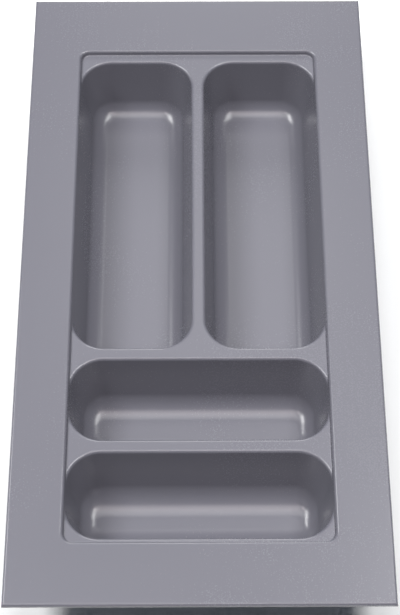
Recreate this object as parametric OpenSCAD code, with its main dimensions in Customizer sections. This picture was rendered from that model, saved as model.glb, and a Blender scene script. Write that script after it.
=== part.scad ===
// Drawer insert for cutlery: one formed plastic sheet with a wide plain flange that is
// trimmed to the drawer, a shallow sunken deck and four deep compartments. Two long ones
// stand side by side at the back and two cross ones fill the front.
// The sheet is described as six regions that meet face to face, one module for each.
// Millimetres. The resting floors are at height zero, the tray's length runs along Y and
// the two cross compartments are toward negative Y.

/* [Sheet] */
// Width of the untrimmed sheet, side to side
tray_w = 266; // [250:1:300]
// Length of the untrimmed sheet, front to back
tray_l = 520; // [500:1:560]
// Height from the resting floors to the flange's upper face
tray_h = 58; // [50:1:68]
// Thickness of the formed sheet
sheet = 1.6; // [1.2:0.1:1.8]
// Lean of every formed wall, in degrees from upright
wall_draft = 8; // [7:1:8]

/* [Flange] */
// Radius of the flange's rounded outer edge
edge_r = 2; // [2:0.1:2.8]
// Height of the flange's turned-down outer edge
edge_drop = 3.2; // [3:0.1:6]
// Flat width that the deck region keeps outside the recess's rounded edge
seam_land = 1; // [0.5:0.1:3]

/* [Recess] */
// Flange and wall between each side edge and the recess at the deck
side_land = 39.7; // [33:0.1:44]
// Flange and wall between the front edge and the recess at the deck
front_land = 46.4; // [36:0.1:60]
// Flange and wall between the back edge and the recess at the deck
back_land = 53.8; // [40:0.1:60]
// Step from the flange down to the deck
recess_step = 4; // [3.5:0.1:8]
// Corner radius of the recess at the deck
recess_corner_r = 6.5; // [4:0.5:12]
// Radius of the foot between the step wall and the deck
step_foot_r = 1.2; // [0.8:0.1:1.4]
// Radius of every rolled-over rim
rim_r = 2; // [1.6:0.1:2.2]
// Depth of the short skirt that the deck keeps below its rims
skirt_drop = 3.2; // [3:0.1:5]

/* [Compartments] */
// Deck strip behind the long compartments
back_strip = 7.4; // [5:0.1:12]
// Deck strip in front of the front cross compartment
front_strip = 3.1; // [3:0.1:9]
// Web between neighbouring compartments, wall to wall at the deck
web_w = 9.5; // [8:0.1:14]
// Front to back size of the middle cross compartment at the deck
middle_l = 64.3; // [54:0.1:80]
// Front to back size of the front cross compartment at the deck
front_l = 64.9; // [54:0.1:80]
// Distance that a compartment's side wall stands inside the step wall
side_ease = 0.2; // [0.1:0.05:0.5]
// Plan corner radius of the long compartments beside the middle web
spine_corner_r = 24.5; // [24:0.5:32]
// Plan corner radius of the long compartments beside the flange
outer_corner_r = 24.5; // [24:0.5:36]
// Plan corner radius of the cross compartments
cross_corner_r = 24.5; // [24:0.5:30]
// Radius between a compartment's walls and its floor
floor_r = 17; // [12:0.5:17.5]

/* [Hidden] */
$fn = 96;
sheet_grey = [0.60, 0.60, 0.63];
// Overrun of every cut past the face it opens
cut_over = 2;
// Height by which a cavity's side passes the step foot
foot_over = 0.5;
// Share of a rim's radius by which its arc stands above the face it joins
rim_lift_share = 0.02;
// Share of the sheet by which stacked bodies reach into each other
bite_share = 0.5;
// Reach of a pie slice past its circle, as a share of the radius
pie_reach_share = 1.5;
// Turn by which a cutting pie slice passes upright, in degrees
pie_over = 20;
// Share of a pie slice's radius by which a neighbouring outline reaches into it
pie_bite_share = 0.5;

draft_slope = tan(wall_draft);
setback_share = tan(45 - wall_draft / 2);
skin = sheet / cos(wall_draft);
bite = sheet * bite_share;
deck_z = tray_h - recess_step;
joint_z = deck_z - skirt_drop;
rim_lift = rim_r * rim_lift_share;
recess_w = tray_w - 2 * side_land;
recess_l = tray_l - front_land - back_land;
recess_y = (front_land - back_land) / 2;
seam_out = recess_step * draft_slope + rim_r * setback_share + rim_lift * draft_slope + seam_land;

// Places of the compartments, all at the deck
recess_front_y = front_land - tray_l / 2;
front_y = recess_front_y + front_strip + front_l / 2;
middle_y = front_y + front_l / 2 + web_w + middle_l / 2;
long_l = recess_l - front_strip - front_l - web_w - middle_l - web_w - back_strip;
long_y = middle_y + middle_l / 2 + web_w + long_l / 2;
cross_w = recess_w - 2 * side_ease;
long_w = (cross_w - web_w) / 2;
long_x = (web_w + long_w) / 2;

// Distance of a drafted wall from its corner's axis at a height, given its radius at the deck
function wall_x(rc, z) = rc + (z - deck_z) * draft_slope;

// Centre and wall contact of a concave foot of radius r on a floor at height z
function foot_centre(rc, z, r) = [wall_x(rc, z) - r * setback_share, z + r];
function foot_touch(rc, z, r) = [wall_x(rc, z) + r * setback_share * sin(wall_draft),
                                 z + r * setback_share * cos(wall_draft)];

// Centre and wall contact of a convex rim below a face at height z
function rim_centre(rc, z) = [wall_x(rc, z) + rim_r * setback_share + rim_lift * draft_slope,
                              z - rim_r + rim_lift];
function rim_touch(rc, z) = rim_centre(rc, z) + rim_r * [-cos(wall_draft), sin(wall_draft)];

// Slice of a disc between two directions
module pie(centre, r, from_a, to_a) {
    reach = r * pie_reach_share;
    mid_a = (from_a + to_a) / 2;
    intersection() {
        translate(centre) circle(r = r);
        polygon([centre,
                 centre + reach * [cos(from_a), sin(from_a)],
                 centre + reach * [cos(mid_a), sin(mid_a)],
                 centre + reach * [cos(to_a), sin(to_a)]]);
    }
}

// Rectangle with four round corners, centred
module round_rect(w, l, r) {
    square([w - 2 * r, l], center = true);
    square([w, l - 2 * r], center = true);
    for (sx = [0, 1], sy = [0, 1])
        mirror([sx, 0]) mirror([0, sy])
            pie([w / 2 - r, l / 2 - r], r, 0, 90);
}

// Filled section of a drafted body with a foot, from start_x to its wall
module footed_section(rc, low_z, foot_r, top_z, start_x = 0) {
    centre = foot_centre(rc, low_z, foot_r);
    touch = foot_touch(rc, low_z, foot_r);
    mid_a = -(90 + wall_draft) / 2;
    inner = centre + foot_r * pie_bite_share * [cos(mid_a), sin(mid_a)];
    polygon([[start_x, low_z], [centre.x, low_z], inner, touch, [wall_x(rc, top_z), top_z],
             [start_x, top_z]]);
    pie(centre, foot_r, -90, -wall_draft);
}

// Filled section of a drafted body with plain edges
module plain_section(rc, low_z, top_z) {
    polygon([[0, low_z], [wall_x(rc, low_z), low_z], [wall_x(rc, top_z), top_z], [0, top_z]]);
}

// Filled section above a rolled rim: what the rim leaves open between the wall and top_z
module flared_section(rc, low_z, rim_z, top_z) {
    centre = rim_centre(rc, rim_z);
    touch = rim_touch(rc, rim_z);
    inner_z = centre.y + rim_r * pie_bite_share;
    difference() {
        polygon([[0, low_z], [wall_x(rc, low_z), low_z], touch, [centre.x, inner_z],
                 [centre.x, top_z], [0, top_z]]);
        pie(centre, rim_r, 90 - pie_over, 180 - wall_draft);
    }
}

// The same with a foot at the bottom
module footed_flared_section(rc, low_z, foot_r, rim_z, top_z) {
    foot = foot_centre(rc, low_z, foot_r);
    foot_end = foot_touch(rc, low_z, foot_r);
    mid_a = -(90 + wall_draft) / 2;
    foot_in = foot + foot_r * pie_bite_share * [cos(mid_a), sin(mid_a)];
    centre = rim_centre(rc, rim_z);
    touch = rim_touch(rc, rim_z);
    inner_z = centre.y + rim_r * pie_bite_share;
    difference() {
        union() {
            polygon([[0, low_z], [foot.x, low_z], foot_in, foot_end, touch,
                     [centre.x, inner_z], [centre.x, top_z], [0, top_z]]);
            pie(foot, foot_r, -90, -wall_draft);
        }
        pie(centre, rim_r, 90 - pie_over, 180 - wall_draft);
    }
}

// Section of a compartment's sheet: floor, concave foot and drafted wall up to the joint
module bowl_section(rc) {
    difference() {
        footed_section(rc + skin, 0, floor_r + sheet, joint_z);
        footed_section(rc, sheet, floor_r, joint_z + cut_over, -cut_over);
    }
}

// Half of a rectangular pan on the positive X side, from a section drawn for its corners:
// a core, a side wall, two end walls and two corners turned about upright axes
module half_pan(half_w, l, rc, core_low, core_top) {
    flat_y = l / 2 - rc;
    flat_x = half_w - rc;
    translate([0, -flat_y, core_low]) cube([flat_x, 2 * flat_y, core_top - core_low]);
    translate([flat_x, flat_y, 0]) rotate([90, 0, 0]) linear_extrude(height = 2 * flat_y) children();
    for (sy = [0, 1])
        mirror([0, sy, 0]) {
            translate([0, flat_y, 0]) rotate([90, 0, 90]) linear_extrude(height = flat_x) children();
            translate([flat_x, flat_y, 0]) rotate_extrude(angle = 90) children();
        }
}

// Sheet of one compartment below the joint, with a plan corner radius for each side
module bowl(w, l, left_r, right_r) {
    half_pan(w / 2, l, right_r, 0, sheet) bowl_section(right_r);
    mirror([1, 0, 0]) half_pan(w / 2, l, left_r, 0, sheet) bowl_section(left_r);
}

// Open space of one compartment through the deck, with its rolled rim
module opening(w, l, left_r, right_r) {
    low_z = joint_z - cut_over;
    top_z = deck_z + step_foot_r + foot_over;
    half_pan(w / 2, l, right_r, low_z, top_z) flared_section(right_r, low_z, deck_z, top_z);
    mirror([1, 0, 0])
        half_pan(w / 2, l, left_r, low_z, top_z) flared_section(left_r, low_z, deck_z, top_z);
}

// Outside of one compartment's skirt, from the joint up into the step wall
module skirt(w, l, left_r, right_r) {
    top_z = tray_h - bite;
    half_pan(w / 2 + skin, l + 2 * skin, right_r + skin, joint_z, top_z)
        plain_section(right_r + skin, joint_z, top_z);
    mirror([1, 0, 0])
        half_pan(w / 2 + skin, l + 2 * skin, left_r + skin, joint_z, top_z)
            plain_section(left_r + skin, joint_z, top_z);
}

// Space between the two long step walls, continued down past the joint
module between_sides() {
    low_z = joint_z - 2 * cut_over;
    top_z = tray_h + cut_over;
    low_x = wall_x(recess_w / 2, low_z);
    top_x = wall_x(recess_w / 2, top_z);
    translate([0, tray_l / 2, 0]) rotate([90, 0, 0])
        linear_extrude(height = tray_l)
            polygon([[-low_x, low_z], [low_x, low_z], [top_x, top_z], [-top_x, top_z]]);
}

// The four compartments' places, given to the module that draws one of them
module at_left_long() { translate([-long_x, long_y, 0]) children(); }
module at_right_long() { translate([long_x, long_y, 0]) children(); }
module at_middle() { translate([0, middle_y, 0]) children(); }
module at_front() { translate([0, front_y, 0]) children(); }

// Outline of the face where the flange region meets the deck region
module seam_outline() {
    translate([0, recess_y])
        round_rect(recess_w + 2 * seam_out, recess_l + 2 * seam_out, recess_corner_r + seam_out);
}

// Section of a plate with rounded upper edges
module rounded_plate_section(w, low_z, top_z, r) {
    translate([-w / 2, low_z]) square([w, top_z - r - low_z]);
    translate([r - w / 2, low_z]) square([w - 2 * r, top_z - low_z]);
    pie([w / 2 - r, top_z - r], r, 0, 90);
    pie([r - w / 2, top_z - r], r, 90, 180);
}

// Plate with rounded upper edges on all four sides and square plan corners
module rounded_plate(w, l, low_z, top_z, r) {
    intersection() {
        translate([0, l / 2, 0]) rotate([90, 0, 0])
            linear_extrude(height = l) rounded_plate_section(w, low_z, top_z, r);
        translate([-w / 2, 0, 0]) rotate([90, 0, 90])
            linear_extrude(height = w) rounded_plate_section(l, low_z, top_z, r);
    }
}

module trim_flange() {
    color(sheet_grey)
    difference() {
        rounded_plate(tray_w, tray_l, tray_h - edge_drop, tray_h, edge_r);
        rounded_plate(tray_w - 2 * sheet, tray_l - 2 * sheet, tray_h - edge_drop - cut_over,
                      tray_h - sheet, edge_r - sheet);
        translate([0, 0, tray_h - edge_drop - cut_over])
            linear_extrude(height = edge_drop + 2 * cut_over) seam_outline();
    }
}

module sunken_deck() {
    low_z = deck_z - sheet;
    foot_out_r = step_foot_r + sheet;
    color(sheet_grey)
    difference() {
        union() {
            translate([0, 0, tray_h - sheet]) linear_extrude(height = sheet) seam_outline();
            translate([0, recess_y, 0]) {
                half_pan(recess_w / 2 + skin, recess_l + 2 * skin, recess_corner_r + skin,
                         low_z, tray_h - bite)
                    footed_section(recess_corner_r + skin, low_z, foot_out_r, tray_h - bite);
                mirror([1, 0, 0])
                    half_pan(recess_w / 2 + skin, recess_l + 2 * skin, recess_corner_r + skin,
                             low_z, tray_h - bite)
                        footed_section(recess_corner_r + skin, low_z, foot_out_r, tray_h - bite);
            }
            at_left_long() skirt(long_w, long_l, outer_corner_r, spine_corner_r);
            at_right_long() skirt(long_w, long_l, spine_corner_r, outer_corner_r);
            at_middle() skirt(cross_w, middle_l, cross_corner_r, cross_corner_r);
            at_front() skirt(cross_w, front_l, cross_corner_r, cross_corner_r);
        }
        translate([0, recess_y, 0]) {
            half_pan(recess_w / 2, recess_l, recess_corner_r, deck_z, tray_h + cut_over)
                footed_flared_section(recess_corner_r, deck_z, step_foot_r, tray_h,
                                      tray_h + cut_over);
            mirror([1, 0, 0])
                half_pan(recess_w / 2, recess_l, recess_corner_r, deck_z, tray_h + cut_over)
                    footed_flared_section(recess_corner_r, deck_z, step_foot_r, tray_h,
                                          tray_h + cut_over);
        }
        intersection() {
            between_sides();
            union() {
                at_left_long() opening(long_w, long_l, outer_corner_r, spine_corner_r);
                at_right_long() opening(long_w, long_l, spine_corner_r, outer_corner_r);
                at_middle() opening(cross_w, middle_l, cross_corner_r, cross_corner_r);
                at_front() opening(cross_w, front_l, cross_corner_r, cross_corner_r);
            }
        }
    }
}

module left_long_bowl() {
    color(sheet_grey) at_left_long() bowl(long_w, long_l, outer_corner_r, spine_corner_r);
}

module right_long_bowl() {
    color(sheet_grey) at_right_long() bowl(long_w, long_l, spine_corner_r, outer_corner_r);
}

module middle_cross_bowl() {
    color(sheet_grey) at_middle() bowl(cross_w, middle_l, cross_corner_r, cross_corner_r);
}

module front_cross_bowl() {
    color(sheet_grey) at_front() bowl(cross_w, front_l, cross_corner_r, cross_corner_r);
}

trim_flange();
sunken_deck();
left_long_bowl();
right_long_bowl();
middle_cross_bowl();
front_cross_bowl();
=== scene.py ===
"""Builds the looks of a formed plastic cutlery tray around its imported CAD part.

The tray is one seamless sheet: a flange with a turned-down outer edge, a sunken deck with rolled
rims, and four compartments. Lengths and places are in metres, in the part's own frame.
"""
import math

import bmesh
import bpy
from bpy.props import FloatProperty, FloatVectorProperty, IntProperty, PointerProperty
from bpy.types import Operator, Panel, PropertyGroup
from mathutils import Matrix, Vector
from mathutils.geometry import delaunay_2d_cdt


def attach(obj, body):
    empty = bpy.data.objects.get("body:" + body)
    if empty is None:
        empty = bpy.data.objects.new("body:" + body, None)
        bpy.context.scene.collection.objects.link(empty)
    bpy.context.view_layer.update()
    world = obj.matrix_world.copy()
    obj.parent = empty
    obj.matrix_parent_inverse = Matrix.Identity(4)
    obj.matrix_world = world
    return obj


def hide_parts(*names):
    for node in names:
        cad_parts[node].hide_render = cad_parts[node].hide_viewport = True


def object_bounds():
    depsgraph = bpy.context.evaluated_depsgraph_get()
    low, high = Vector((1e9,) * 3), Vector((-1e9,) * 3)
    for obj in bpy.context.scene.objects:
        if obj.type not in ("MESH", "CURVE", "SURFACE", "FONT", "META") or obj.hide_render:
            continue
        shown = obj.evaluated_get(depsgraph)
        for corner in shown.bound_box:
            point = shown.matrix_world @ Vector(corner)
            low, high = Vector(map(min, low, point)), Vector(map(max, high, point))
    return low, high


bl_info = {
    "name": "Cutlery tray",
    "version": (1, 0, 0),
    "blender": (4, 2, 0),
    "location": "3D View > Sidebar > Tray",
    "description": "Builds a formed cutlery tray, its finish and its studio",
    "category": "Object",
}

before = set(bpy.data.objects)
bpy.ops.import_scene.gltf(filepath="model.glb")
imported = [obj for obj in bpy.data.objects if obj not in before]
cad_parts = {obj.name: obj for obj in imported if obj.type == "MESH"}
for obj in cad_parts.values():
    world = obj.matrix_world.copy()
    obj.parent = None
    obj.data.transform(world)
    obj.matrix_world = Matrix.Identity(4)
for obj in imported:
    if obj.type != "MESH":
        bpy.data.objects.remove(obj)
start_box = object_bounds()
WIDTH, DEPTH, HEIGHT = (high - low for low, high in zip(*start_box))

NODES = ("trim_flange", "sunken_deck", "left_long_bowl", "right_long_bowl",
         "middle_cross_bowl", "front_cross_bowl")

UP = Vector((0, 0, 1))
QUARTER = math.pi / 2
# Points that round to the same count of half microns are one point
HALF_MICRONS = 2e6
# Places nearer than this, in metres, touch
TOUCH = 1e-7
# Digits kept of a place along the recess, in metres
DIGITS = 7
# Step down a wall, in metres, that gives its slope
SLOPE_STEP = 1e-6
# How far the rows of a floor radius reach up its arc
FOOT_SWEEP = math.radians(84)
# Plan corners in turn, counter-clockwise seen from above
CORNERS = ((1, -1), (1, 1), (-1, 1), (-1, -1))
# Shares of slow patches, grain and fine grain in the tone, and of grain in the bump
TONE_SHARES = (0.55, 0.30, 0.15)
BUMP_GRAIN_SHARE = 0.7
NOISE_MEAN = 0.5


def length(name, description, default):
    """A length in metres."""
    return FloatProperty(name=name, description=description, default=default, unit="LENGTH",
                         precision=5)


def steps(name, description, default):
    """A count of steps."""
    return IntProperty(name=name, description=description, default=default, min=1)


def angle(name, description, default):
    """An angle, given here in degrees."""
    return FloatProperty(name=name, description=description, default=math.radians(default),
                         subtype="ANGLE", unit="ROTATION")


def plain(name, description, default):
    """A number with no unit."""
    return FloatProperty(name=name, description=description, default=default, precision=4)


def fraction(name, description, default):
    """A share of one."""
    return FloatProperty(name=name, description=description, default=default, min=0, max=1,
                         subtype="FACTOR", precision=4)


def watts(name, description, default):
    """A light's power in watts."""
    return FloatProperty(name=name, description=description, default=default, min=0,
                         unit="POWER")


def millimetres(name, description, default):
    """A length inside the camera in millimetres."""
    return FloatProperty(name=name, description=description, default=default, min=1,
                         unit="CAMERA")


def colour(name, description, default):
    """A linear colour."""
    return FloatVectorProperty(name=name, description=description, default=default, size=3,
                               subtype="COLOR", min=0, max=1)


def position(name, description, default):
    """A place in metres."""
    return FloatVectorProperty(name=name, description=description, default=default, size=3,
                               subtype="TRANSLATION")


class TraySizes(PropertyGroup):
    """Sizes of the formed sheet."""
    width: length("Width", "Outer width of the flange", WIDTH)
    depth: length("Depth", "Outer length of the flange, front to back", DEPTH)
    height: length("Height", "From the resting floors to the flange's face", HEIGHT)
    sheet: length("Sheet", "Thickness of the sheet", 0.0016)
    edge_radius: length("Edge radius", "Radius of the flange's outer edge", 0.002)
    edge_drop: length("Edge drop", "Height of the turned-down outer edge", 0.0032)
    side_land: length("Side land", "Flange from its outer edge to the deck, at the sides", 0.0397)
    front_land: length("Front land", "The same land in front", 0.0464)
    back_land: length("Back land", "The same land behind", 0.0538)
    recess_corner: length("Recess corner", "Corner radius of the recess", 0.0065)
    step: length("Step", "Drop from the flange to the deck", 0.004)
    step_foot: length("Step foot", "Radius between step wall and deck", 0.0012)
    foot_fade: length("Foot fade", "Length in which the step foot runs out at a rim", 0.007)
    rim_radius: length("Rim radius", "Radius of every rolled rim", 0.0026)
    front_strip: length("Front strip", "Deck in front of the front compartment", 0.0031)
    front_length: length("Front length", "Front to back of the front compartment", 0.0649)
    middle_length: length("Middle length", "Front to back of the middle compartment", 0.0643)
    back_strip: length("Back strip", "Deck behind the long compartments", 0.0074)
    web: length("Web", "Deck between two compartments", 0.0095)
    spine_corner: length("Spine corner", "Plan corner radius beside the spine", 0.0245)
    outer_corner: length("Outer corner", "Plan corner radius beside the flange", 0.0245)
    cross_corner: length("Cross corner", "Plan corner radius of the cross ones", 0.0245)
    corner_share: fraction("Corner share", "Share of the inset that a corner's radius loses", 0.9)
    side_lean: angle("Side lean", "Lean of the side walls", 10)
    side_foot: length("Side foot", "Radius between side walls and floor", 0.0125)
    long_lean: angle("Long lean", "Lean of the long compartments' end walls", 10)
    long_foot: length("Long foot", "Radius between those end walls and the floor", 0.014)
    middle_lean: angle("Middle lean", "Lean of the middle cross one's end walls", 12.5)
    middle_foot: length("Middle foot", "Radius between those end walls and the floor", 0.017)
    front_lean: angle("Front lean", "Lean of the front cross one's end walls", 14)
    front_foot: length("Front foot", "Radius between those end walls and the floor", 0.020)
    arc_steps: steps("Arc steps", "Steps in a compartment's plan corner", 24)
    rim_steps: steps("Rim steps", "Steps in a rolled rim", 8)
    wall_steps: steps("Wall steps", "Steps down a wall", 6)
    foot_steps: steps("Foot steps", "Steps in a floor radius", 14)
    side_steps: steps("Side steps", "Steps between rims along a side of the recess", 24)
    corner_steps: steps("Corner steps", "Steps in a corner of the recess", 12)
    end_steps: steps("End steps", "Steps along an end of the recess", 12)
    step_foot_steps: steps("Step foot steps", "Steps in the radius at the step's foot", 4)
    edge_steps: steps("Edge steps", "Steps in the radius of the flange's outer edge", 7)


class TrayFinish(PropertyGroup):
    """Finish of the satin plastic."""
    light_grey: colour("Light grey", "Lighter tone of the sheet", (0.124, 0.124, 0.146))
    dark_grey: colour("Dark grey", "Darker tone of the sheet", (0.116, 0.116, 0.137))
    roughness: fraction("Roughness", "Middle roughness", 0.27)
    roughness_range: fraction("Roughness range", "Variation of the roughness", 0.02)
    refraction: plain("Refraction", "Refractive index of the plastic", 1.5)
    gloss: fraction("Gloss", "Specular level of the plastic", 0.55)
    patches: plain("Patches", "Slow patches of tone in a metre", 9)
    grain: plain("Grain", "Grains in a metre", 900)
    fine_ratio: plain("Fine ratio", "Fine grains for each grain in a line", 3.1)
    grain_height: fraction("Grain height", "Strength of the grain's bump", 0.025)
    grain_depth: length("Grain depth", "Depth of the grain's bump at full strength", 0.0004)
    scuffs: plain("Scuffs", "Scuffs in a metre across the tray", 420)
    scuff_stretch: fraction("Scuff stretch", "Share of them in a metre along the tray", 0.06)
    scuff: fraction("Scuff", "Strength of the fine scuffs", 0.005)


class StudioLook(PropertyGroup):
    """Floor, lights and camera."""
    floor_grey: colour("Floor", "Colour of the floor", (0.98, 0.98, 0.98))
    floor_tone: fraction("Floor tone", "How much lighter the floor's light patches are", 0.01)
    floor_patches: plain("Floor patches", "Patches of tone in a metre of floor", 3)
    floor_roughness: fraction("Floor roughness", "Roughness of the floor", 0.9)
    floor_gloss: fraction("Floor gloss", "Specular level of the floor", 0.1)
    floor_reach: length("Floor reach", "From the floor's middle to its sides", 6)
    floor_cells: steps("Floor cells", "Cells along a side of the floor", 8)
    box_size: length("Box size", "Side of the two square soft lights behind", 0.68)
    strip_length: length("Strip length", "Length of the two soft strips at the sides", 1.6)
    strip_width: length("Strip width", "Width of the two soft strips at the sides", 0.65)
    left_power: watts("Left power", "Power of the box above on the left", 53)
    left_place: position("Left place", "Middle of the box above on the left", (-1.27, 0.18, 2.03))
    right_power: watts("Right power", "Power of the box above on the right", 37.5)
    right_place: position("Right place", "Middle of the box above on the right",
                          (0.86, 0.04, 2.24))
    wide_size: length("Wide size", "Side of the boxes in front and overhead", 0.95)
    top_power: watts("Top power", "Power of the box overhead", 9.5)
    top_place: position("Top place", "Middle of the box overhead", (-0.17, -0.17, 2.39))
    front_power: watts("Front power", "Power of the box in front", 11.5)
    front_place: position("Front place", "Middle of the box in front", (0.12, -0.94, 2.21))
    rear_power: watts("Rear power", "Power of the box behind", 18)
    rear_place: position("Rear place", "Middle of the box behind", (0.08, 2.08, 1.20))
    sky_power: watts("Sky power", "Power of the high box behind", 3.5)
    sky_place: position("Sky place", "Middle of the high box behind", (0.07, 1.20, 2.08))
    near_size: length("Near size", "Side of the two small lights in front", 0.24)
    near_left_power: watts("Near left power", "Power of the small light on the left", 6.4)
    near_left_place: position("Near left place", "Middle of the small light on the left",
                              (-0.83, -0.92, 2.06))
    near_right_power: watts("Near right power", "Power of the small light on the right", 6.0)
    near_right_place: position("Near right place", "Middle of the small light on the right",
                               (0.83, -0.92, 2.06))
    front_tint: colour("Front tint", "Colour of the light in front", (1.0, 0.91, 0.92))
    world_tint: colour("World tint", "Colour of the even light around", (0.66, 0.80, 1.0))
    world_light: plain("World light", "Strength of the even light around", 0.06)
    camera_place: position("Camera place", "Place of the camera", (-0.0017, -0.6295, 1.1159))
    camera_pitch: angle("Pitch", "How far the camera looks down", 60.50)
    camera_yaw: angle("Yaw", "How far the camera turns to the right", 0.268)
    camera_roll: angle("Roll", "How far the camera leans", 0.058)
    camera_lens: millimetres("Lens", "Focal length", 96.52)
    camera_sensor: millimetres("Sensor", "Long side of the sensor", 36)
    camera_near: length("Near", "Nearest place that the camera sees", 0.05)
    camera_far: length("Far", "Farthest place that the camera sees", 20)


class Wire:
    """A shader value that works in Python arithmetic."""

    def __init__(self, graph, socket):
        self.graph = graph
        self.socket = socket

    def _math(self, operation, first, second):
        node = self.graph.add("ShaderNodeMath", {"operation": operation}, {0: first, 1: second})
        return Wire(self.graph, node.outputs[0])

    def __add__(self, other):
        return self._math("ADD", self, other)

    def __radd__(self, other):
        return self._math("ADD", other, self)

    def __sub__(self, other):
        return self._math("SUBTRACT", self, other)

    def __rsub__(self, other):
        return self._math("SUBTRACT", other, self)

    def __mul__(self, other):
        return self._math("MULTIPLY", self, other)

    def __rmul__(self, other):
        return self._math("MULTIPLY", other, self)


class Graph:
    """The nodes of a material or a world, added one call at a time."""

    def __init__(self, owner):
        self.owner = owner
        owner.use_nodes = True
        self.tree = owner.node_tree
        self.tree.nodes.clear()

    def add(self, kind, settings=None, inputs=None):
        """Adds a node; inputs may be plain values, sockets or Wires, by name or number."""
        node = self.tree.nodes.new(kind)
        for key, value in (settings or {}).items():
            setattr(node, key, value)
        for key, value in (inputs or {}).items():
            if isinstance(value, Wire):
                value = value.socket
            if isinstance(value, bpy.types.NodeSocket):
                self.tree.links.new(value, node.inputs[key])
            else:
                node.inputs[key].default_value = value
        return node

    def noise(self, place, scale, detail=2.0, roughness=0.5):
        """Noise between 0 and 1 at a place."""
        node = self.add("ShaderNodeTexNoise", {"noise_dimensions": "3D"},
                        {"Vector": place, "Scale": scale, "Detail": detail,
                         "Roughness": roughness})
        return Wire(self, node.outputs[0])

    def place(self, stretch=(1, 1, 1)):
        """Object coordinates, stretched."""
        coords = self.add("ShaderNodeTexCoord")
        node = self.add("ShaderNodeMapping", {"vector_type": "POINT"},
                        {"Vector": coords.outputs["Object"], "Scale": stretch})
        return node.outputs[0]

    def mix_colour(self, factor, first, second):
        """A colour between two colours."""
        node = self.add("ShaderNodeMix", {"data_type": "RGBA"},
                        {0: factor, 6: first, 7: second})
        return node.outputs[2]


def satin_plastic(finish):
    """Silver-grey formed plastic: fine grain, slow tone changes and a few soft scuffs."""
    graph = Graph(bpy.data.materials.new("satin_plastic"))
    spot = graph.place()
    slow = graph.noise(spot, finish.patches, detail=3.0)
    grain = graph.noise(spot, finish.grain, detail=2.0, roughness=0.6)
    fine = graph.noise(spot, finish.grain * finish.fine_ratio, detail=1.0)
    scuffs = graph.noise(graph.place((1, finish.scuff_stretch, 1)), finish.scuffs, detail=3.0,
                         roughness=0.65)
    slow_share, grain_share, fine_share = TONE_SHARES
    tone = slow * slow_share + grain * grain_share + fine * fine_share
    base = graph.mix_colour(tone, (*finish.dark_grey, 1), (*finish.light_grey, 1))
    rough = (finish.roughness + (grain - NOISE_MEAN) * finish.roughness_range
             + (slow - NOISE_MEAN) * finish.roughness_range
             + (scuffs - NOISE_MEAN) * finish.scuff)
    height = grain * BUMP_GRAIN_SHARE + fine * (1 - BUMP_GRAIN_SHARE)
    bump = graph.add("ShaderNodeBump", None,
                     {"Strength": finish.grain_height, "Distance": finish.grain_depth,
                      "Height": height})
    shader = graph.add("ShaderNodeBsdfPrincipled", None,
                       {"Base Color": base, "Roughness": rough, "Metallic": 0.0,
                        "IOR": finish.refraction, "Specular IOR Level": finish.gloss,
                        "Normal": bump.outputs[0]})
    graph.add("ShaderNodeOutputMaterial", None, {"Surface": shader.outputs[0]})
    return graph.owner


def floor_white(look):
    """Matt white of the studio's floor, with very faint patches."""
    graph = Graph(bpy.data.materials.new("floor_white"))
    tone = graph.noise(graph.place(), look.floor_patches, detail=2.0)
    lighter = [part + look.floor_tone for part in look.floor_grey]
    base = graph.mix_colour(tone, (*look.floor_grey, 1), (*lighter, 1))
    shader = graph.add("ShaderNodeBsdfPrincipled", None,
                       {"Base Color": base, "Roughness": look.floor_roughness,
                        "Specular IOR Level": look.floor_gloss})
    graph.add("ShaderNodeOutputMaterial", None, {"Surface": shader.outputs[0]})
    return graph.owner


class Skin:
    """A sheet under construction: shared points, faces with their own corner normals."""

    def __init__(self):
        self.points = []
        self.inward = []
        self.faces = []
        self.normals = []
        self.known = {}

    def point(self, place, inward):
        """Number of the point at a place; inward is the unit step toward the underside."""
        key = tuple(round(part * HALF_MICRONS) for part in place)
        if key not in self.known:
            self.known[key] = len(self.points)
            self.points.append(Vector(place))
            self.inward.append(Vector(inward))
        return self.known[key]

    def face(self, corners):
        """Adds a face from (number, normal) pairs, leaving out repeated corners."""
        kept = []
        for number, normal in corners:
            if not kept or kept[-1][0] != number:
                kept.append((number, normal))
        if len(kept) > 1 and kept[0][0] == kept[-1][0]:
            kept.pop()
        numbers = [number for number, _ in kept]
        if len(numbers) >= 3 and len(set(numbers)) == len(numbers):
            self.faces.append(numbers)
            self.normals.append([normal for _, normal in kept])

    def strip(self, outer, inner):
        """Quads between two closed rows of (number, normal), counter-clockwise from above."""
        count = len(outer)
        for i in range(count):
            j = (i + 1) % count
            self.face([outer[i], outer[j], inner[j], inner[i]])

    def flat(self, loops, height, inside):
        """Fills the level area between closed loops of point numbers where inside() holds."""
        places, edges, numbers = [], [], []
        for loop in loops:
            start = len(places)
            for number in loop:
                places.append(self.points[number].xy)
                numbers.append(number)
            count = len(loop)
            edges += [(start + i, start + (i + 1) % count) for i in range(count)
                      if loop[i] != loop[(i + 1) % count]]
        out, _, faces, origins, _, _ = delaunay_2d_cdt(places, edges, [], 0, TOUCH)
        ids = []
        for place, origin in zip(out, origins):
            if origin:
                ids.append(numbers[origin[0]])
            else:
                ids.append(self.point((place.x, place.y, height), -UP))
        for face in faces:
            corners = [out[i] for i in face]
            middle = sum(corners, Vector((0, 0))) / len(face)
            if inside(middle.x, middle.y):
                first, second, third = corners[:3]
                if (second - first).cross(third - first) < 0:
                    face = list(reversed(face))
                self.face([(ids[i], UP) for i in face])


def leaned(level, turn):
    """Unit vector that has turned from straight up toward a level direction."""
    return Vector((level.x * math.sin(turn), level.y * math.sin(turn), math.cos(turn)))


def lean_setback(lean):
    """Share of a radius from a corner to its contact, between a level face and a leaning wall."""
    return math.tan(math.pi / 4 - lean / 2)


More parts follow.
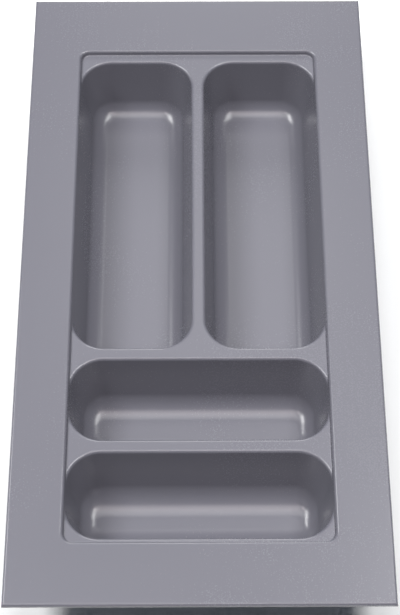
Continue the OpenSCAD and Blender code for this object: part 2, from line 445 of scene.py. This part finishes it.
class Section:
    """A wall's lean, rim and floor radius, as insets from where its slope meets the deck."""

    def __init__(self, lean, foot, rim, depth):
        self.lean, self.foot, self.rim, self.depth = lean, foot, rim, depth
        self.slope = math.tan(lean)
        self.rim_out = rim * lean_setback(lean)
        self.foot_in = depth * self.slope + foot * lean_setback(lean)

    def inset(self, down):
        """Inset at a depth."""
        if down < self.rim * (1 - math.sin(self.lean)):
            rise = self.rim - down
            return math.sqrt(max(self.rim ** 2 - rise ** 2, 0)) - self.rim_out
        up = self.depth - down
        if up < self.foot * (1 - math.sin(self.lean)):
            rise = self.foot - up
            return self.foot_in - math.sqrt(max(self.foot ** 2 - rise ** 2, 0))
        return down * self.slope


class Pocket:
    """A compartment: a rounded rectangle that narrows from its rim to its floor.

    It has spans across and along the tray, corner radii at its left and right, a lean and floor
    radius of its end walls, and signs of the sides where the recess's side wall clips it.
    """

    def __init__(self, sizes, across, along, corners, end, clipped):
        left, right = across
        front, back = along
        self.middle_x, self.middle_y = (left + right) / 2, (front + back) / 2
        self.half_x, self.half_y = (right - left) / 2, (back - front) / 2
        self.corners = {1: corners[1], -1: corners[0]}
        self.depth = sizes.height - sizes.step - sizes.sheet
        self.deck = sizes.height - sizes.step
        self.share = sizes.corner_share
        self.side = Section(sizes.side_lean, sizes.side_foot, sizes.rim_radius, self.depth)
        self.end = Section(*end, sizes.rim_radius, self.depth)
        self.clipped = clipped
        self.wall = sizes.width / 2 - sizes.side_land
        self.levels = self._levels(sizes)
        self.stations = self._stations(sizes)

    def _levels(self, sizes):
        """Depths below the deck of the rows: rim, wall and floor radius."""
        down = [sizes.rim_radius * (1 - math.cos(QUARTER * i / sizes.rim_steps))
                for i in range(sizes.rim_steps)]
        foot = max(self.end.foot, self.side.foot)
        foot_rise = [foot * (1 - math.cos(FOOT_SWEEP * i / sizes.foot_steps))
                     for i in range(sizes.foot_steps, -1, -1)]
        top, low = sizes.rim_radius, self.depth - foot_rise[0]
        down += [top + (low - top) * i / sizes.wall_steps for i in range(sizes.wall_steps)]
        down += [self.depth - rise for rise in foot_rise]
        return down

    def _stations(self, sizes):
        """Corner signs and angles, counter-clockwise seen from above.

        A corner beside a side wall has one more, where its rim runs out against that wall.
        """
        out = []
        for sign_x, sign_y in CORNERS:
            turns = [QUARTER * i / sizes.arc_steps for i in range(sizes.arc_steps + 1)]
            if sign_x in self.clipped:
                radius = self.corners[sign_x]
                turns.append(math.acos(radius / (radius + self.side.rim_out)))
            turns.sort()
            if sign_x * sign_y < 0:
                turns.reverse()
            out += [(sign_x, sign_y, turn) for turn in turns]
        return out

    def radius(self, sign_x, down):
        """Plan corner radius at a depth."""
        mean = (self.side.inset(down) + self.end.inset(down)) / 2
        return self.corners[sign_x] - mean * (self.share if mean > 0 else 1)

    def raw(self, station, down):
        """Place on the unclipped surface."""
        sign_x, sign_y, turn = station
        radius = self.radius(sign_x, down)
        x = self.half_x - self.side.inset(down) - radius + radius * math.cos(turn)
        y = self.half_y - self.end.inset(down) - radius + radius * math.sin(turn)
        return Vector((self.middle_x + sign_x * x, self.middle_y + sign_y * y, self.deck - down))

    def limit(self, down):
        """Half width between the side walls at a depth."""
        return self.wall - down * self.side.slope

    def place(self, station, down):
        """Place and normal on the clipped surface."""
        spot = self.raw(station, down)
        sign_x = station[0]
        limit = self.limit(down)
        if sign_x in self.clipped and sign_x * spot.x > limit - TOUCH:
            return (Vector((sign_x * limit, spot.y, spot.z)),
                    leaned(Vector((-sign_x, 0)), QUARTER - self.side.lean))
        return spot, self.normal(station, down)

    def normal(self, station, down):
        """Normal of the unclipped surface."""
        if down <= 0 or down >= self.depth:
            return UP
        sign_x, sign_y, turn = station
        low = self.raw(station, min(down + SLOPE_STEP, self.depth))
        high = self.raw(station, max(down - SLOPE_STEP, 0))
        across = Vector((-sign_x * math.sin(turn), sign_y * math.cos(turn), 0))
        normal = (low - high).cross(across)
        if normal.z < 0:
            normal.negate()
        return normal.normalized()

    def rows(self, skin):
        """Adds the points of every level and returns their rows."""
        rows = []
        for down in self.levels:
            row = []
            for station in self.stations:
                spot, normal = self.place(station, down)
                row.append((skin.point(spot, -normal), normal))
            rows.append(row)
        return rows

    def covers(self, x, y, down):
        """True where the outline at a depth holds a place."""
        side = 1 if x >= self.middle_x else -1
        return rounded_inside(x - self.middle_x, y - self.middle_y,
                              self.half_x - self.side.inset(down),
                              self.half_y - self.end.inset(down), self.radius(side, down))


def rounded_inside(x, y, half_x, half_y, radius):
    """True where a rounded rectangle holds a place, given from its middle."""
    past_x, past_y = abs(x) - (half_x - radius), abs(y) - (half_y - radius)
    if past_x > 0 and past_y > 0:
        return math.hypot(past_x, past_y) < radius
    return abs(x) < half_x and abs(y) < half_y


class Recess:
    """The recess in the flange, and the spans of the compartments along it."""

    def __init__(self, sizes):
        self.half = sizes.width / 2 - sizes.side_land
        self.front = sizes.front_land - sizes.depth / 2
        self.back = sizes.depth / 2 - sizes.back_land
        self.corner = sizes.recess_corner
        front_start = self.front + sizes.front_strip
        front_end = front_start + sizes.front_length
        middle_start = front_end + sizes.web
        middle_end = middle_start + sizes.middle_length
        self.front_span = (front_start, front_end)
        self.middle_span = (middle_start, middle_end)
        self.long_span = (middle_end + sizes.web, self.back - sizes.back_strip)

    def holds(self, x, y, grown=0.0):
        """True where the recess, grown outward by a length, holds a place."""
        middle, half_y = (self.front + self.back) / 2, (self.back - self.front) / 2
        return rounded_inside(x, y - middle, self.half + grown, half_y + grown,
                              self.corner + grown)


def smooth(value):
    """Eased step from 0 to 1."""
    value = min(max(value, 0.0), 1.0)
    return value * value * (3 - 2 * value)


def recess_stations(sizes, recess, openings):
    """Places round the recess at the deck with their outward directions and foot shares."""
    half, radius = recess.half, recess.corner
    low, high = recess.front + radius, recess.back - radius

    def side(spans, sign_x):
        """A side, where the foot fades out toward each compartment's rim."""
        found = {round(low, DIGITS): 1.0, round(high, DIGITS): 1.0}
        ends = sorted((min(span), max(span)) for span in spans)
        rims = [y for span in spans for y in span]
        for y in rims:
            found[round(y, DIGITS)] = 0.0
        edges = [low] + [y for end in ends for y in end] + [high]
        for start, stop in zip(edges[0::2], edges[1::2]):
            for i in range(1, sizes.side_steps):
                y = start + (stop - start) * i / sizes.side_steps
                near = min(abs(y - rim) for rim in rims)
                found[round(y, DIGITS)] = smooth(near / sizes.foot_fade)
        rows = sorted(found.items(), reverse=sign_x < 0)
        return [(Vector((sign_x * half, y)), Vector((sign_x, 0)), share) for y, share in rows]

    def corner(sign_x, sign_y, start):
        """A corner, without its ends."""
        middle = Vector((sign_x * (half - radius), high if sign_y > 0 else low))
        turns = [start + QUARTER * i / sizes.corner_steps for i in range(1, sizes.corner_steps)]
        outs = [Vector((math.cos(turn), math.sin(turn))) for turn in turns]
        return [(middle + radius * out, out, 1.0) for out in outs]

    def end(sign_y, direction):
        """An end wall, with its ends."""
        y = recess.back if sign_y > 0 else recess.front
        shares = [2 * i / sizes.end_steps - 1 for i in range(sizes.end_steps + 1)]
        return [(Vector((direction * (half - radius) * share, y)), Vector((0, sign_y)), 1.0)
                for share in shares]

    return (side(openings[1], 1) + corner(1, 1, 0) + end(1, -1) + corner(-1, 1, QUARTER)
            + side(openings[-1], -1) + corner(-1, -1, 2 * QUARTER) + end(-1, 1)
            + corner(1, -1, 3 * QUARTER))


def recess_rows(skin, sizes, stations):
    """Rows of the recess from the deck up to the flange: foot, step wall and rolled rim."""
    setback = lean_setback(sizes.side_lean)
    full_turn = QUARTER - sizes.side_lean
    deck, rim = sizes.height - sizes.step, sizes.rim_radius
    foot_turns = [full_turn * i / sizes.step_foot_steps for i in range(sizes.step_foot_steps + 1)]
    rim_turns = [full_turn * (1 - i / sizes.rim_steps) for i in range(sizes.rim_steps + 1)]

    def foot_row(turn, station):
        """Step outward, height and turn at the foot, which is a sharp corner at no share."""
        radius = sizes.step_foot * station[2]
        away = -radius * setback + radius * math.sin(turn)
        return away, deck + radius * (1 - math.cos(turn)), turn if station[2] > 0 else full_turn

    def rim_row(turn, station):
        """Step outward, height and turn at the rim, which is the same at every station."""
        away = sizes.step * math.tan(sizes.side_lean) + rim * setback - rim * math.sin(turn)
        return away, sizes.height - rim * (1 - math.cos(turn)), turn

    rows = []
    for profile, turns in ((foot_row, foot_turns), (rim_row, rim_turns)):
        for turn in turns:
            row = []
            for station in stations:
                place, out, _ = station
                away, z, lean = profile(turn, station)
                normal = leaned(-out, lean)
                spot = Vector((place.x + out.x * away, place.y + out.y * away, z))
                row.append((skin.point(spot, -normal), normal))
            rows.append(row)
    return rows


def edge_rows(skin, sizes):
    """Rows of the flange's outer edge: a turn and four corner points for each level."""
    levels = []
    for i in range(sizes.edge_steps + 1):
        turn = QUARTER * i / sizes.edge_steps
        levels.append((turn, sizes.edge_radius * math.sin(turn),
                       sizes.height - sizes.edge_radius * (1 - math.cos(turn))))
    levels.append((QUARTER, sizes.edge_radius, sizes.height - sizes.edge_drop))
    rows = []
    for turn, out, z in levels:
        half_x = sizes.width / 2 - sizes.edge_radius + out
        half_y = sizes.depth / 2 - sizes.edge_radius + out
        row = []
        for sign_x, sign_y in CORNERS:
            inward = -leaned(Vector((sign_x, sign_y)), turn)
            row.append(skin.point((sign_x * half_x, sign_y * half_y, z), inward))
        rows.append((turn, row))
    return rows


def edge_faces(skin, rows):
    """Faces of the outer edge, with a sharp mitre at each plan corner."""
    outward = (Vector((1, 0)), Vector((0, 1)), Vector((-1, 0)), Vector((0, -1)))
    for (upper_turn, upper), (lower_turn, lower) in zip(rows, rows[1:]):
        for i, out in enumerate(outward):
            j = (i + 1) % len(outward)
            high, low = leaned(out, upper_turn), leaned(out, lower_turn)
            skin.face([(lower[i], low), (lower[j], low), (upper[j], high), (upper[i], high)])


def tray_pockets(sizes, recess):
    """The four compartments: two long ones beside the spine and two cross ones."""
    half, spine, both = recess.half, sizes.web / 2, (-1, 1)
    outer, inner, cross = sizes.outer_corner, sizes.spine_corner, sizes.cross_corner
    long_end = (sizes.long_lean, sizes.long_foot)
    middle_end = (sizes.middle_lean, sizes.middle_foot)
    front_end = (sizes.front_lean, sizes.front_foot)
    return [
        Pocket(sizes, (-half, -spine), recess.long_span, (outer, inner), long_end, (-1,)),
        Pocket(sizes, (spine, half), recess.long_span, (inner, outer), long_end, (1,)),
        Pocket(sizes, (-half, half), recess.middle_span, (cross, cross), middle_end, both),
        Pocket(sizes, (-half, half), recess.front_span, (cross, cross), front_end, both),
    ]


def pocket_skin(skin, pocket, openings):
    """Adds a compartment, notes where it opens the side walls and returns its rim's points."""
    rows = pocket.rows(skin)
    for upper, lower in zip(rows, rows[1:]):
        skin.strip(upper, lower)
    floor = [number for number, _ in rows[-1]]
    skin.flat([floor], pocket.deck - pocket.depth, lambda x, y: pocket.covers(x, y, pocket.depth))
    rim = [number for number, _ in rows[0]]
    for sign_x in pocket.clipped:
        touching = [skin.points[number].y for number in rim
                    if sign_x * skin.points[number].x > pocket.limit(0) - TOUCH]
        openings[sign_x].append(sorted(set(touching)))
    return rim


def tray_skin(sizes):
    """The whole upper face of the tray, and the points of its lower edge."""
    skin, recess = Skin(), Recess(sizes)
    pockets = tray_pockets(sizes, recess)
    openings = {1: [], -1: []}
    rims = [pocket_skin(skin, pocket, openings) for pocket in pockets]
    rows = recess_rows(skin, sizes, recess_stations(sizes, recess, openings))
    for lower, upper in zip(rows, rows[1:]):
        skin.strip(upper, lower)
    deck_loop = [number for number, _ in rows[0]]
    flange_loop = [number for number, _ in rows[-1]]

    def on_deck(x, y):
        """True on the deck's strips and webs."""
        return recess.holds(x, y) and not any(pocket.covers(x, y, 0) for pocket in pockets)

    skin.flat([deck_loop] + rims, sizes.height - sizes.step, on_deck)
    edge = edge_rows(skin, sizes)
    edge_faces(skin, edge)
    lean = sizes.side_lean
    grown = sizes.step * math.tan(lean) + sizes.rim_radius * lean_setback(lean)
    skin.flat([edge[0][1], flange_loop], sizes.height, lambda x, y: not recess.holds(x, y, grown))
    return skin, edge[-1][1]


def sheet_mesh(sizes):
    """Mesh of the sheet: upper face, parallel underside and the cut rim between them."""
    skin, rim = tray_skin(sizes)
    below = len(skin.points)
    places = [tuple(point) for point in skin.points]
    places += [tuple(point + inward * sizes.sheet)
               for point, inward in zip(skin.points, skin.inward)]
    faces = [list(face) for face in skin.faces]
    normals = [list(corners) for corners in skin.normals]
    for face, corners in zip(skin.faces, skin.normals):
        faces.append([number + below for number in reversed(face)])
        normals.append([-normal for normal in reversed(corners)])
    for first, second in zip(rim, rim[1:] + rim[:1]):
        cut = [second, first, first + below, second + below]
        faces.append(cut)
        normals.append([-UP] * len(cut))
    mesh = bpy.data.meshes.new("formed_tray")
    mesh.from_pydata(places, [], faces)
    mesh.polygons.foreach_set("use_smooth", [True] * len(mesh.polygons))
    mesh.normals_split_custom_set([tuple(normal) for corners in normals for normal in corners])
    mesh.update()
    return mesh


def show(mesh, name):
    """Links a mesh as an object."""
    obj = bpy.data.objects.new(name, mesh)
    bpy.context.scene.collection.objects.link(obj)
    return obj


class TRAY_OT_build_sheet(Operator):
    """Builds the formed sheet as one seamless piece and gives it its finish"""
    bl_idname = "tray.build_sheet"
    bl_label = "Build the sheet"

    def execute(self, context):
        sizes = context.scene.tray_sizes
        tray = show(sheet_mesh(sizes), "formed_tray")
        tray.data.materials.append(satin_plastic(context.scene.tray_finish))
        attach(tray, "root")
        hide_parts(*NODES)
        return {"FINISHED"}


class TRAY_OT_build_studio(Operator):
    """Builds the floor, the lights and the even light around"""
    bl_idname = "tray.build_studio"
    bl_label = "Build the studio"

    def execute(self, context):
        look = context.scene.tray_studio
        floor = self.floor(look)
        strip = (look.strip_length, look.strip_width)
        wide = (look.wide_size, look.wide_size)
        square = (look.box_size, look.box_size)
        small = (look.near_size, look.near_size)
        for side, size in (("left", strip), ("right", strip), ("top", wide), ("front", wide),
                           ("rear", square), ("sky", square), ("near_left", small),
                           ("near_right", small)):
            light = self.softbox(side + "_box", getattr(look, side + "_place"), size,
                                 getattr(look, side + "_power"))
            if side in ("front", "near_left", "near_right"):
                light.data.color = look.front_tint
                self.spare(light, floor)
        self.world(look)
        return {"FINISHED"}

    def floor(self, look):
        """A wide pale floor under the tray's resting faces."""
        shape = bmesh.new()
        bmesh.ops.create_grid(shape, x_segments=look.floor_cells, y_segments=look.floor_cells,
                              size=look.floor_reach)
        mesh = bpy.data.meshes.new("floor")
        shape.to_mesh(mesh)
        shape.free()
        floor = show(mesh, "floor")
        floor.data.materials.append(floor_white(look))
        return floor

    def softbox(self, name, middle, size, power):
        """A soft light that faces the tray; its length lies level."""
        data = bpy.data.lights.new(name, "AREA")
        data.shape = "RECTANGLE"
        data.size, data.size_y = size
        data.energy = power
        light = bpy.data.objects.new(name, data)
        light.location = middle
        light.rotation_mode = "QUATERNION"
        light.rotation_quaternion = (-Vector(middle)).to_track_quat("-Z", "Y")
        bpy.context.scene.collection.objects.link(light)
        return light

    def spare(self, light, thing):
        """Keeps a light off one thing, as a flag in front of it would."""
        spared = bpy.data.collections.new(light.name + "_spares")
        spared.objects.link(thing)
        spared.collection_objects[0].light_linking.link_state = "EXCLUDE"
        light.light_linking.receiver_collection = spared

    def world(self, look):
        """Even light around, and a white backdrop for the camera alone."""
        graph = Graph(bpy.data.worlds.new("studio"))
        path = graph.add("ShaderNodeLightPath")
        soft = graph.add("ShaderNodeBackground", None,
                         {"Color": (*look.world_tint, 1), "Strength": look.world_light})
        white = graph.add("ShaderNodeBackground", None, {"Color": (1, 1, 1, 1), "Strength": 1})
        mix = graph.add("ShaderNodeMixShader", None,
                        {0: path.outputs["Is Camera Ray"], 1: soft.outputs[0],
                         2: white.outputs[0]})
        graph.add("ShaderNodeOutputWorld", None, {"Surface": mix.outputs[0]})
        bpy.context.scene.world = graph.owner


class TRAY_OT_place_camera(Operator):
    """Places the camera at the photograph's viewpoint"""
    bl_idname = "tray.place_camera"
    bl_label = "Place the camera"

    def execute(self, context):
        look = context.scene.tray_studio
        pitch, yaw, roll = look.camera_pitch, look.camera_yaw, look.camera_roll
        ahead = Vector((math.sin(yaw) * math.cos(pitch), math.cos(yaw) * math.cos(pitch),
                        -math.sin(pitch)))
        right = Vector((math.cos(yaw), -math.sin(yaw), 0))
        up = right.cross(ahead)
        leaned_right = right * math.cos(roll) + up * math.sin(roll)
        leaned_up = up * math.cos(roll) - right * math.sin(roll)
        turn = Matrix((leaned_right, leaned_up, -ahead)).transposed()
        data = bpy.data.cameras.new("photo_view")
        data.sensor_width = look.camera_sensor
        data.lens = look.camera_lens
        data.clip_start, data.clip_end = look.camera_near, look.camera_far
        camera = bpy.data.objects.new("photo_view", data)
        camera.matrix_world = Matrix.Translation(look.camera_place) @ turn.to_4x4()
        context.scene.collection.objects.link(camera)
        context.scene.camera = camera
        context.scene.view_settings.view_transform = "Standard"
        return {"FINISHED"}


class TRAY_PT_panel(Panel):
    """Panel with the tray's sizes and its build steps"""
    bl_label = "Tray"
    bl_space_type = "VIEW_3D"
    bl_region_type = "UI"
    bl_category = "Tray"

    def draw(self, context):
        for name, group in GROUPS.items():
            box = self.layout.box()
            for field in group.__annotations__:
                box.prop(getattr(context.scene, name), field)
        for step in STEPS:
            self.layout.operator(step.bl_idname)


GROUPS = {"tray_sizes": TraySizes, "tray_finish": TrayFinish, "tray_studio": StudioLook}
STEPS = (TRAY_OT_build_sheet, TRAY_OT_build_studio, TRAY_OT_place_camera)
CLASSES = (*GROUPS.values(), *STEPS, TRAY_PT_panel)


def register():
    """Registers the classes and hangs the property groups on the scene."""
    for cls in CLASSES:
        bpy.utils.register_class(cls)
    for name, group in GROUPS.items():
        setattr(bpy.types.Scene, name, PointerProperty(type=group))


def unregister():
    """Takes back what register did."""
    for name in GROUPS:
        delattr(bpy.types.Scene, name)
    for cls in reversed(CLASSES):
        bpy.utils.unregister_class(cls)


def main():
    """Registers the add-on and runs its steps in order."""
    register()
    bpy.ops.tray.build_sheet()
    bpy.ops.tray.build_studio()
    bpy.ops.tray.place_camera()


if __name__ == "__main__":
    main()
